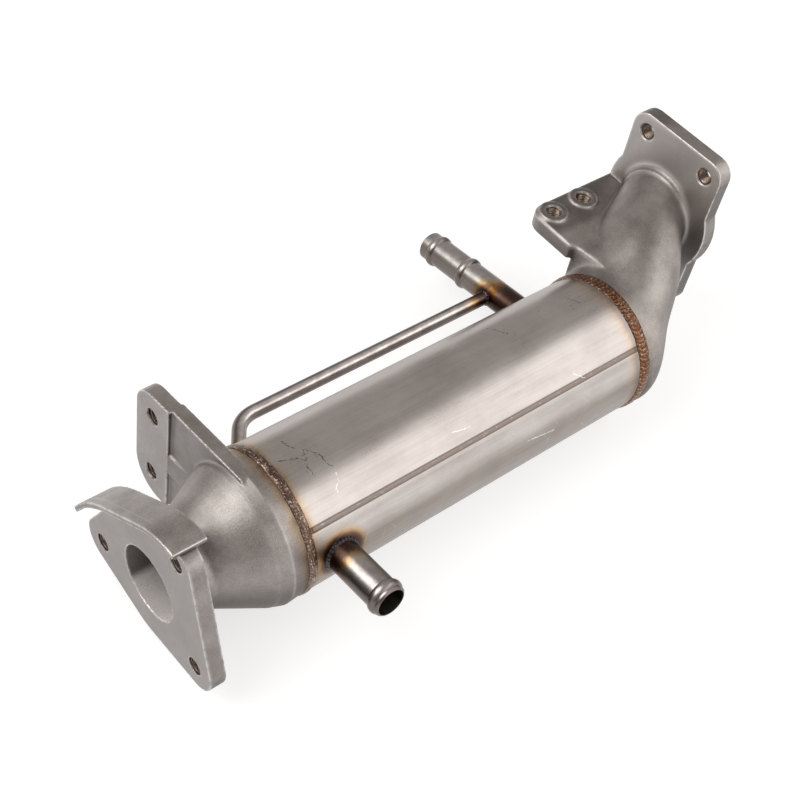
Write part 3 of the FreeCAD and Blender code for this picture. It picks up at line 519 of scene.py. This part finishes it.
jacketLook = {
    "bright": (0.64, 0.60, 0.575),
    "dull": (0.50, 0.455, 0.43),
    "roughness": 0.27,
    "seamAngle": math.radians(140.4),
    "seamDark": (0.25, 0.205, 0.18),
    "seamLight": (0.60, 0.55, 0.52),
    "seamEdge": (0.13, 0.10, 0.085),
    # painted shade: which half of y, the heights between which it fades out upwards, and the tone
    # of the painted shade
    "paintedShades": [
        ("LESS_THAN", 6.0, 20.0, (0.50, 0.47, 0.45)),           # below the seam
        ("GREATER_THAN", 24.0, 38.0, (0.48, 0.455, 0.44)),      # along the far side
        ("LESS_THAN", -16.0, 0.0, (0.62, 0.60, 0.59)),          # the underside
    ],
    "stain": (0.30, 0.24, 0.20),
    "dot": (0.14, 0.11, 0.10),
    "fleck": (0.09, 0.075, 0.07),
    "darkScratch": (0.05, 0.045, 0.045),
    "brightScratch": (0.93, 0.91, 0.90),
    "hairline": (0.9, 0.88, 0.86),
    "shiver": 1.6,          # mm by which a scratch wanders
    # listed marks: along the axis and round the jacket, in millimetres
    "fleckedPatches": [
        (262.0, 57.0, 13.0), (237.0, 50.0, 8.0), (218.0, 60.0, 9.0), (79.0, 62.0, 12.0),
    ],
    "darkScratches": [
        [(77.6, 46.7), (77.8, 52.0), (79.6, 55.6)],
        [(82.6, 57.0), (81.0, 59.8), (80.9, 62.6), (79.6, 63.8), (77.9, 62.0)],
        [(68.5, 57.2), (78.0, 61.1)],
        [(83.3, 58.7), (87.2, 65.1), (86.7, 68.5), (88.7, 72.3)],
        [(77.9, 64.7), (78.7, 72.2)],
        [(258.9, 49.6), (261.3, 56.7)],
        [(209.5, 41.2), (213.5, 52.9)],
    ],
    "brightScratches": [
        [(88.5, 75.3), (87.5, 79.0), (84.7, 81.2), (84.9, 83.5)],
        [(150.0, 84.0), (163.0, 86.5)],
        [(196.0, 110.0), (214.0, 112.5)],
        [(232.0, 88.0), (238.0, 93.0)],
    ],
}


# distance from a drawn line, each stroke being a chain of points
def fromStrokes(f, flat, strokes):
    nearest = None
    for stroke in strokes:
        for (ax, ay), (bx, by) in zip(stroke, stroke[1:]):
            run = (bx - ax, by - ay, 0.0)
            away = f.vector("SUBTRACT", flat, (ax, ay, 0.0))
            share = f.calc("DIVIDE", f.vector("DOT_PRODUCT", away, run),
                           run[0] ** 2 + run[1] ** 2, clamp=True)
            gap = f.vector("DISTANCE", away, f.vector("SCALE", run, scale=share))
            nearest = gap if nearest is None else f.calc("MINIMUM", nearest, gap)
    return nearest


def jacketSteel():
    f, look = Finish("jacketSteel"), jacketLook
    around = f.times(f.calc("ARCTAN2", f.z, f.y), jacket["radius"])
    flat = f.combine(f.x, around, 0.0)
    lines = f.lines(f.x, 0.012, around, 1.5, 0.0, 1.0, 5.0, 0.75)
    streaks = f.lines(f.x, 0.02, around, 0.22, 3.0, 1.0, 3.0)
    cloud = f.grain(f.place, 0.035, 5.0, 0.62)
    mottle = f.plus(f.times(lines, 0.35), f.plus(f.times(cloud, 0.4), f.times(streaks, 0.25)))
    colour = f.blend(f.rise(mottle, 0.36, 0.62), look["dull"], look["bright"])
    rough = f.plus(look["roughness"] - 0.06, f.times(mottle, 0.16))

    # the long seam: a dull stripe with light specks
    beside = f.calc("ABSOLUTE", f.minus(around, look["seamAngle"] * jacket["radius"]))
    seam = f.rest(f.rise(beside, 1.45, 1.8))
    specks = f.grain(f.combine(f.times(f.x, 0.3), around, 0.0), 0.9, 4.0, 0.7)
    stripe = f.blend(f.rise(specks, 0.56, 0.74), look["seamDark"], look["seamLight"])
    stripe = f.blend(f.times(f.band(beside, 1.25, 0.6), 0.6), stripe, look["seamEdge"])
    colour = f.blend(f.times(seam, 0.9), colour, stripe)
    rough = f.plus(rough, f.times(seam, 0.12))

    # painted shade: below the seam, along the far side and on the underside the colour is darkened
    for half, low, high, paintedTone in look["paintedShades"]:
        share = f.times(f.calc(half, f.y, 0.0), f.rest(f.rise(f.z, low, high)))
        colour = f.blend(share, colour, paintedTone, "MULTIPLY")

    # soft stains, small dark dots and flecked patches
    stain = f.rise(f.grain(f.place, 0.11, 6.0, 0.7), 0.60, 0.74)
    colour = f.blend(f.times(stain, 0.22), colour, look["stain"])
    dots = f.times(f.calc("LESS_THAN", f.cells(f.place, 0.9), 0.10),
                   f.rise(f.grain(f.place, 0.05, 2.0), 0.52, 0.64))
    colour = f.blend(f.times(dots, 0.55), colour, look["dot"])
    flecks = f.grain(f.combine(f.times(f.x, 0.6), around, 5.0), 0.75, 5.0, 0.7)
    flecks = f.rise(flecks, 0.60, 0.66)
    for spotX, spotAround, reach in look["fleckedPatches"]:
        patch = f.vector("DISTANCE", flat, (spotX, spotAround, 0.0))
        patch = f.rest(f.rise(patch, reach * 0.3, reach))
        colour = f.blend(f.times(f.times(patch, flecks), 0.8), colour, look["fleck"])

    # heat colours beside both round welds, round the spigots and the bleed tube's foot
    wobble = f.wobble(0.10, 7.0)
    for gap, reach, strength in (
        (f.minus(f.x, jacket["start"] - 0.6), 9.0, 0.7),
        (f.minus(jacket["end"] - 2.0, f.x), 11.0, 0.5),
    ):
        colour = f.heat(colour, f.rise(f.plus(gap, wobble), 0.0, reach), strength)
    wobble = f.times(wobble, 0.35)
    for x, side, start, reach in (
        (ports["inletX"], -1, 9.5, 7.5),
        (ports["outletX"], 1, 9.5, 8.5),
        (72.5, 1, 3.0, 8.0),
    ):
        near = f.plus(fromLine(f, (x, 0, 0), ports["out"]), wobble)
        height = f.vector("DOT_PRODUCT", f.place, tuple(ports["out"] * side))
        farSide = f.calc("LESS_THAN", height, 0.0)
        share = f.calc("MAXIMUM", f.rise(near, start, start + reach), farSide)
        colour = f.heat(colour, share)

    # scratches, drawn on a shivering ground
    shiver = f.node("ShaderNodeTexNoise")
    f.put(shiver.inputs["Vector"], f.place)
    f.put(shiver.inputs["Scale"], 0.5)
    bent = f.vector("ADD", flat, f.vector("SCALE", shiver.outputs["Color"], scale=look["shiver"]))
    bent = f.vector("SUBTRACT", bent, (look["shiver"] / 2,) * 3)
    broken = f.rise(f.grain(f.place, 0.7, 3.0), 0.36, 0.56)
    dark = f.rest(f.rise(fromStrokes(f, bent, look["darkScratches"]), 0.12, 0.42))
    dark = f.times(broken, dark)
    colour = f.blend(f.times(dark, 0.85), colour, look["darkScratch"])
    bright = f.rest(f.rise(fromStrokes(f, bent, look["brightScratches"]), 0.08, 0.3))
    colour = f.blend(f.times(bright, 0.9), colour, look["brightScratch"])

    # hairlines at a slant
    for angle, seed in ((0.5, 3.0), (2.2, 9.0), (1.3, 17.0)):
        across = f.plus(f.times(f.x, math.sin(angle)), f.times(around, math.cos(angle)))
        along = f.minus(f.times(f.x, math.cos(angle)), f.times(around, math.sin(angle)))
        hair = f.lines(across, 1.3, along, 0.03, seed, 1.0, 2.0)
        colour = f.blend(f.times(f.rise(hair, 0.70, 0.75), 0.22), colour, look["hairline"])

    normal = f.bump(f.plus(lines, f.times(cloud, 3.0)), 0.10, 0.0002)
    normal = f.bump(f.times(dark, -1.0), 0.25, 0.0002, normal)
    return f.close(colour, rough, normal)


jacketFinish = jacketSteel()


def dress(nodeName, finish):
    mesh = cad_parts[nodeName].data
    mesh.materials.clear()
    mesh.materials.append(finish)


for name in ("shell_tube", "shell_seam"):
    dress(name, jacketFinish)
print("jacket dressed")


# Tubes: polished stainless, darker where it was heated, with a painted highlight streak between
# sides of painted shade

tubeLook = {
    "bright": (0.66, 0.63, 0.61),
    "dull": (0.50, 0.46, 0.44),
    # painted shade: the side tone darkens the tubes' sides, and the two ways below keep a painted
    # highlight streak
    "side": (0.13, 0.105, 0.095),
    "roughness": 0.29,
    "spigotPaintedHighlightWay": (-0.30, 0.11, 0.94),
    "bleedPaintedHighlightWay": (0.0, -0.50, 0.86),
}


# streak is the way that stays bright, a painted highlight, while the sides turned from it get
# painted shade; the brightness factor scales the colour as painted light; and each heated place
# has a middle, a start and a reach
def tubeSteel(name, streak, paintedBrightness, heated):
    f = Finish(name)
    cloud = f.grain(f.place, 0.16, 4.0, 0.6)
    fine = f.grain(f.place, 1.6, 3.0)
    colour = f.blend(f.rise(cloud, 0.35, 0.65), tubeLook["dull"], tubeLook["bright"])
    # painted light: the colour is scaled by the piece's brightness factor, then the sides turned
    # from the streak get painted shade
    colour = f.blend(1.0, colour, (paintedBrightness, paintedBrightness, paintedBrightness), "MULTIPLY")
    colour = f.shade(colour, streak, 0.62, 0.96, tubeLook["side"], 0.9)
    rough = f.plus(tubeLook["roughness"] - 0.05, f.times(fine, 0.16))
    wobble = f.wobble(0.25, 5.0)
    for point, start, reach in heated:
        near = f.plus(f.vector("DISTANCE", f.place, point), wobble)
        colour = f.heat(colour, f.rise(near, start, start + reach))
    return f.close(colour, rough, f.bump(fine, 0.06, 0.0002))


# a point beside the jacket's axis at x, on the spigots' line
def onPort(x, reach):
    return tuple(Vector((x, 0, 0)) + ports["out"] * reach)


inletSpigotSteel = tubeSteel("inletSpigotSteel", tubeLook["spigotPaintedHighlightWay"], 0.82, [
    (onPort(ports["inletX"], -jacket["radius"]), 8.0, 9.0)])
outletSpigotSteel = tubeSteel("outletSpigotSteel", tubeLook["spigotPaintedHighlightWay"], 0.9, [
    (onPort(ports["outletX"], jacket["radius"]), 16.0, 18.0), (onPort(260.0, 63.0), 4.0, 9.0)])
bleedSteel = tubeSteel("bleedSteel", tubeLook["bleedPaintedHighlightWay"], 1.45, [
    (onPort(72.0, jacket["radius"]), 3.0, 16.0), (onPort(258.0, 63.0), 3.0, 16.0)])
dress("coolant_inlet_spigot", inletSpigotSteel)
dress("coolant_outlet_spigot", outletSpigotSteel)
dress("bleed_tube", bleedSteel)


# Core: dull brown plates and tubes, seen only through the gas ports

coreLook = {"dark": (0.16, 0.125, 0.10), "light": (0.36, 0.31, 0.27), "roughness": 0.42}


def coreSteel():
    f = Finish("coreSteel")
    cloud = f.grain(f.place, 0.2, 5.0, 0.65)
    colour = f.blend(f.rise(cloud, 0.35, 0.65), coreLook["dark"], coreLook["light"])
    return f.close(colour, coreLook["roughness"], f.bump(cloud, 0.2, 0.0004))


coreFinish = coreSteel()
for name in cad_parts:
    if name.startswith(("gas_tube", "baffle", "inlet_tube", "outlet_tube")):
        dress(name, coreFinish)
print("tubes and core dressed")


# Welds: copper brown ripples with silver crests

# valley, crest and spark are the tones, and glint is where the sparks begin
weldLooks = {
    "copperWeld": {"valley": (0.115, 0.05, 0.028), "crest": (0.54, 0.30, 0.175),
                   "spark": (0.90, 0.84, 0.79), "glint": 0.56},
    "greyWeld": {"valley": (0.13, 0.08, 0.06), "crest": (0.50, 0.37, 0.29),
                 "spark": (0.88, 0.83, 0.79), "glint": 0.52},
    "darkWeld": {"valley": (0.018, 0.016, 0.022), "crest": (0.075, 0.062, 0.062),
                 "spark": (0.34, 0.31, 0.31), "glint": 0.62},
}
bronze = (0.17, 0.12, 0.10)


def weldMetal(name):
    f, look = Finish(name), weldLooks[name]
    fine = f.grain(f.place, 1.1, 5.0, 0.7)
    top = f.plus(f.attribute("crest"), f.times(f.minus(fine, 0.5), 2.2))
    colour = f.blend(f.rise(top, 0.20, 0.95), look["valley"], look["crest"])
    glint = f.rise(f.grain(f.place, 0.75, 3.0, 0.6), look["glint"], look["glint"] + 0.08)
    colour = f.blend(f.times(glint, f.rise(top, 0.3, 0.8)), colour, look["spark"])
    patches = f.rise(f.grain(f.place, 0.22, 2.0), 0.5, 0.7)
    colour = f.blend(f.times(patches, 0.35), colour, bronze)
    return f.close(colour, f.plus(0.2, f.times(fine, 0.25)), f.bump(fine, 0.35, 0.0004))


copperWeld = weldMetal("copperWeld")
greyWeld = weldMetal("greyWeld")
darkWeld = weldMetal("darkWeld")

# lengths in millimetres; wave, grit and streak are shares of the bead's height
weldBeads = {
    "inletSeam": {"x": 62.6, "width": 5.3, "height": 1.0, "ripples": 122, "curl": 0.6,
                  "wave": 0.09, "grit": 0.10, "streak": 0.26, "seed": 4},
    "outletSeam": {"x": 280.9, "width": 8.2, "height": 1.42, "ripples": 96, "curl": 0.8,
                   "wave": 0.14, "grit": 0.24, "streak": 0.08, "seed": 11},
    "inletSpigot": {"bead": 1.85, "pitch": 1.7, "wave": 0.05, "seed": 21},
    "outletSpigot": {"bead": 1.35, "pitch": 1.5, "wave": 0.12, "seed": 25},
    "bleedFoot": {"bead": 1.15, "pitch": 1.3, "wave": 0.10, "seed": 31},
    "bleedHead": {"bead": 1.45, "pitch": 1.4, "wave": 0.08, "seed": 37},
}


# one ripple's height, rising fast and falling slowly
def ripple(phase):
    share, top = phase - math.floor(phase), 0.28
    if share < top:
        rise = share / top
        return rise * rise * (3 - 2 * rise)
    return 1 - ((share - top) / (1 - top)) ** 1.6


# a piece from points in millimetres, its faces turned outwards
def addPiece(name, points, faces, finish):
    mesh = bpy.data.meshes.new(name)
    mesh.from_pydata([p * mm for p in points], [], faces)
    work = bmesh.new()
    work.from_mesh(mesh)
    bmesh.ops.recalc_face_normals(work, faces=work.faces)
    work.to_mesh(mesh)
    work.free()
    mesh.materials.append(finish)
    piece = bpy.data.objects.new(name, mesh)
    scene.collection.objects.link(piece)
    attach(piece, "root")
    return piece


# a closed ring of closed rows
def addBead(name, rows, crests, finish):
    turns, across = len(rows), len(rows[0])
    faces = [
        (i * across + j, i * across + (j + 1) % across,
         (i + 1) % turns * across + (j + 1) % across, (i + 1) % turns * across + j)
        for i in range(turns) for j in range(across)
    ]
    piece = addPiece(name, [p for row in rows for p in row], faces, finish)
    crest = piece.data.attributes.new("crest", "FLOAT", "POINT")
    crest.data.foreach_set("value", [c for row in crests for c in row])
    piece.data.shade_smooth()
    return piece


weldGrid = {
    "stepsPerRipple": 11,
    "across": 15,           # points over a round weld
    "rootDepth": 0.6,       # mm into the jacket
    "rootShare": 0.6,       # the root's width over the weld's
    "ringSteps": 10,        # steps per ripple round a tube
    "ringPoints": 14,
    "sink": 0.35,           # share of a ring's bead that lies in the corner
}


def makeRoundWeld(name, look, finish):
    steps, half = look["ripples"] * weldGrid["stepsPerRipple"], look["width"] / 2
    random.seed(look["seed"])
    jitter = [random.uniform(-0.22, 0.22) for _ in range(look["ripples"] + 1)]
    jitter[-1] = jitter[0]
    strength = [random.uniform(0.65, 1.0) for _ in range(look["ripples"] + 1)]
    rows, crests = [], []
    for i in range(steps):
        angle = math.tau * i / steps
        place = look["ripples"] * i / steps
        whole = int(place)
        phase = place + jitter[whole] * (1 - place + whole) + jitter[whole + 1] * (place - whole)
        around = Vector((math.cos(angle), math.sin(angle), look["seed"]))
        wander = noise.noise(around * 5.0) * 0.5
        spread = half * (0.93 + 0.07 * noise.noise(around * 14.0))
        row, crest = [], []
        for j in range(weldGrid["across"]):
            u = -1 + 2 * j / (weldGrid["across"] - 1)
            wave = ripple(phase + look["curl"] * u * u) * strength[whole]
            grit = noise.noise(Vector((angle * 60, u * 5, look["seed"])))
            lump = noise.noise(Vector((angle * 22, u * 2.2, look["seed"] + 5)))
            streak = noise.noise(Vector((angle * 9, u * 4.5 + wander * 2, look["seed"] + 9)))
            wave, streak = look["wave"] * wave, look["streak"] * streak
            full = 0.62 + wave + look["grit"] * grit + streak + 0.12 * lump
            radius = jacket["radius"] + look["height"] * (1 - u * u) ** 0.75 * min(1.0, full)
            row.append(Vector((look["x"] + wander * 0.6 + u * spread * 0.97,
                               radius * math.cos(angle), radius * math.sin(angle))))
            crest.append(0.15 + 3.0 * wave + 0.25 * grit + 2.2 * streak)
        for u in (weldGrid["rootShare"], -weldGrid["rootShare"]):      # inside the metal
            radius = jacket["radius"] - weldGrid["rootDepth"]
            row.append(Vector((look["x"] + u * half, radius * math.cos(angle),
                               radius * math.sin(angle))))
            crest.append(0.0)
        rows.append(row)
        crests.append(crest)
    return addBead(name, rows, crests, finish)


# a bead round a tube where it enters a round wall: start is on the tube's middle line, way
# points out of the wall, and the wall is the point, way and radius of a cylinder
def makeSpigotWeld(name, look, finish, start, way, radius, wall):
    wallPoint, wallWay, wallRadius = wall
    way, wallWay = Vector(way).normalized(), Vector(wallWay).normalized()
    side = way.cross(wallWay).normalized()
    front = side.cross(way).normalized()
    ripples = max(9, int(math.tau * radius / look["pitch"]))
    steps = ripples * weldGrid["ringSteps"]
    root = []
    for i in range(steps):
        angle = math.tau * i / steps
        out = front * math.cos(angle) + side * math.sin(angle)
        point = Vector(start) + out * radius
        away = point - Vector(wallPoint)
        away -= wallWay * away.dot(wallWay)
        run = way - wallWay * way.dot(wallWay)
        a, b, c = run.dot(run), 2 * away.dot(run), away.dot(away) - wallRadius ** 2
        depth = max(b * b - 4 * a * c, 0.0)
        root.append((point + way * ((-b + math.sqrt(depth)) / (2 * a)), out))
    rows, crests = [], []
    for i, (point, out) in enumerate(root):
        along = (root[(i + 1) % steps][0] - root[i - 1][0]).normalized()
        up = point - Vector(wallPoint)
        up = out + (up - wallWay * up.dot(wallWay)).normalized()
        up = (up - along * up.dot(along)).normalized()
        beside = along.cross(up)
        centre = point - up * look["bead"] * weldGrid["sink"]
        row, crest = [], []
        for j in range(weldGrid["ringPoints"]):
            turn = math.tau * j / weldGrid["ringPoints"]
            lift = max(0.0, math.cos(turn))
            wave = ripple(i / steps * ripples + 0.4 * math.sin(turn) ** 2)
            grit = noise.noise(point * 0.9 + Vector((look["seed"], turn, 0)))
            size = look["bead"] * (0.98 + lift * (look["wave"] * wave + 0.10 * grit))
            row.append(centre + up * math.cos(turn) * size * 0.95
                       + beside * math.sin(turn) * size * 1.15)
            crest.append(lift * (0.2 + 0.6 * wave + 0.2 * grit))
        rows.append(row)
        crests.append(crest)
    return addBead(name, rows, crests, finish)


inletSeamWeld = makeRoundWeld("inletSeamWeld", weldBeads["inletSeam"], greyWeld)
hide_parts("inlet_seam")
outletSeamWeld = makeRoundWeld("outletSeamWeld", weldBeads["outletSeam"], copperWeld)
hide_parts("outlet_seam")

jacketWall = ((0, 0, 0), (1, 0, 0), jacket["radius"])
inletSpigotWeld = makeSpigotWeld(
    "inletSpigotWeld", weldBeads["inletSpigot"], darkWeld,
    onPort(ports["inletX"], 0), -ports["out"], ports["radius"], jacketWall)
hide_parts("inlet_spigot_weld")
outletSpigotWeld = makeSpigotWeld(
    "outletSpigotWeld", weldBeads["outletSpigot"], copperWeld,
    onPort(ports["outletX"], 0), ports["out"], ports["radius"], jacketWall)
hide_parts("outlet_spigot_weld")

bleed = {"radius": 3.75, "slope": math.radians(54), "footX": 74.6, "headReach": 63.0}
bleedHead = onPort(ports["outletX"], bleed["headReach"])
makeSpigotWeld(
    "bleedFootWeld", weldBeads["bleedFoot"], copperWeld, onPort(bleed["footX"], jacket["radius"]),
    Vector((-math.cos(bleed["slope"]), 0, 0)) + ports["out"] * math.sin(bleed["slope"]),
    bleed["radius"], jacketWall)
makeSpigotWeld(
    "bleedHeadWeld", weldBeads["bleedHead"], darkWeld, bleedHead, (-1, 0, 0), bleed["radius"],
    (bleedHead, ports["out"], ports["radius"]))
print("welds laid")


# Tapped holes: a thread ridge inside each hole, as a helix

threads = {
    "pitch": 1.25,          # mm
    "ridge": 0.42,
    "root": 0.25,           # mm into the wall
    "inset": 1.2,           # mm from both ends of the hole
    "halfWidth": 0.46,      # share of the pitch
    "perTurn": 28,
    "taperSteps": 10,
    "dark": (0.075, 0.055, 0.045),
    "light": (0.34, 0.25, 0.19),
}


def threadFinish():
    f = Finish("threadSteel")
    fine = f.grain(f.place, 1.2, 4.0, 0.65)
    colour = f.blend(f.rise(fine, 0.35, 0.65), threads["dark"], threads["light"])
    return f.close(colour, 0.26, f.bump(fine, 0.2, 0.0003))


def makeThreads(finish):
    points, faces = [], []
    pitch, perTurn = threads["pitch"], threads["perTurn"]
    half = pitch * threads["halfWidth"]
    for centre, axis, depth, radius in inletHoles + outletHoles:
        along = Vector((1, 0, 0)) if axis == "x" else Vector((0, 0, 1))
        side = Vector((0, 1, 0))
        other = along.cross(side)
        steps = int((depth - 2 * threads["inset"]) / pitch * perTurn)
        first = len(points)
        for i in range(steps + 1):
            angle = math.tau * i / perTurn
            out = side * math.cos(angle) + other * math.sin(angle)
            place = Vector(centre) + along * (threads["inset"] + pitch * i / perTurn)
            taper = min(1.0, i / threads["taperSteps"], (steps - i) / threads["taperSteps"])
            points += [place + out * (radius + threads["root"]) - along * half,
                       place + out * (radius - threads["ridge"] * taper),
                       place + out * (radius + threads["root"]) + along * half]
        for i in range(steps):
            a = first + i * 3
            faces += [(a, a + 1, a + 4, a + 3), (a + 1, a + 2, a + 5, a + 4),
                      (a + 2, a, a + 3, a + 5)]
        end = first + steps * 3
        faces += [(first, first + 2, first + 1), (end, end + 1, end + 2)]
    piece = addPiece("holeThreads", points, faces, finish)


makeThreads(threadFinish())
print("holes threaded")


# Camera, floor and studio

photoCamera = {
    "lens": 62.33,
    "sensor": 36,
    "place": (-0.1888, -0.28584, 0.52505),      # m
    "right": (0.76702, -0.62443, 0.14757),
    "back": (-0.50119, -0.43947, 0.74544),
}


def setCamera():
    lens = bpy.data.cameras.new("photoCamera")
    lens.lens = photoCamera["lens"]
    lens.sensor_width = photoCamera["sensor"]
    camera = bpy.data.objects.new("photoCamera", lens)
    scene.collection.objects.link(camera)
    right = Vector(photoCamera["right"]).normalized()
    back = Vector(photoCamera["back"]).normalized()
    turned = Matrix((right, back.cross(right), back)).transposed()
    camera.matrix_world = Matrix.Translation(photoCamera["place"]) @ turned.to_4x4()
    scene.camera = camera


studio = {
    "world": (0.40, 0.375, 0.36),
    "worldStrength": 1.0,
    "floorReach": 4,        # m
    "floorColour": (0.52, 0.52, 0.52, 1),
    "floorGlow": 0.66,
    "lights": [
        # name, direction from the part, distance, width, height, power, colour
        ("softbox", (0.46, -0.66, 0.55), 1.0, 1.9, 1.1, 7.0, (1.0, 0.985, 0.97)),
        ("leftFill", (-0.60, 0.32, 0.72), 1.1, 1.0, 0.8, 6.6, (1.0, 0.99, 0.98)),
    ],
}


def buildStudio():
    low, reach = cadBox[0].z, studio["floorReach"]
    mesh = bpy.data.meshes.new("floor")
    corners = ((-1, -1), (1, -1), (1, 1), (-1, 1))
    mesh.from_pydata([(x * reach, y * reach, low) for x, y in corners], [], [(0, 1, 2, 3)])
    floor = bpy.data.objects.new("floor", mesh)
    scene.collection.objects.link(floor)
    f = Finish("paleFloor")
    mesh.materials.append(f.close(studio["floorColour"], 0.9, None, 0.0, **{
        "Emission Color": (1, 1, 1, 1), "Emission Strength": studio["floorGlow"]}))

    world = bpy.data.worlds.new("studioAir")
    world.use_nodes = True
    air = world.node_tree.nodes["Background"]
    air.inputs["Color"].default_value = (*studio["world"], 1)
    air.inputs["Strength"].default_value = studio["worldStrength"]
    scene.world = world

    middle = (cadBox[0] + cadBox[1]) / 2
    for name, way, distance, wide, tall, power, colour in studio["lights"]:
        lamp = bpy.data.lights.new(name, "AREA")
        lamp.shape = "RECTANGLE"
        lamp.size, lamp.size_y = wide, tall
        lamp.energy = power
        lamp.color = colour
        holder = bpy.data.objects.new(name, lamp)
        scene.collection.objects.link(holder)
        way = Vector(way).normalized()
        holder.location = middle + way * distance
        holder.rotation_euler = way.to_track_quat("Z", "Y").to_euler()


setCamera()
buildStudio()
scene.view_settings.view_transform = "Standard"
print("studio ready")
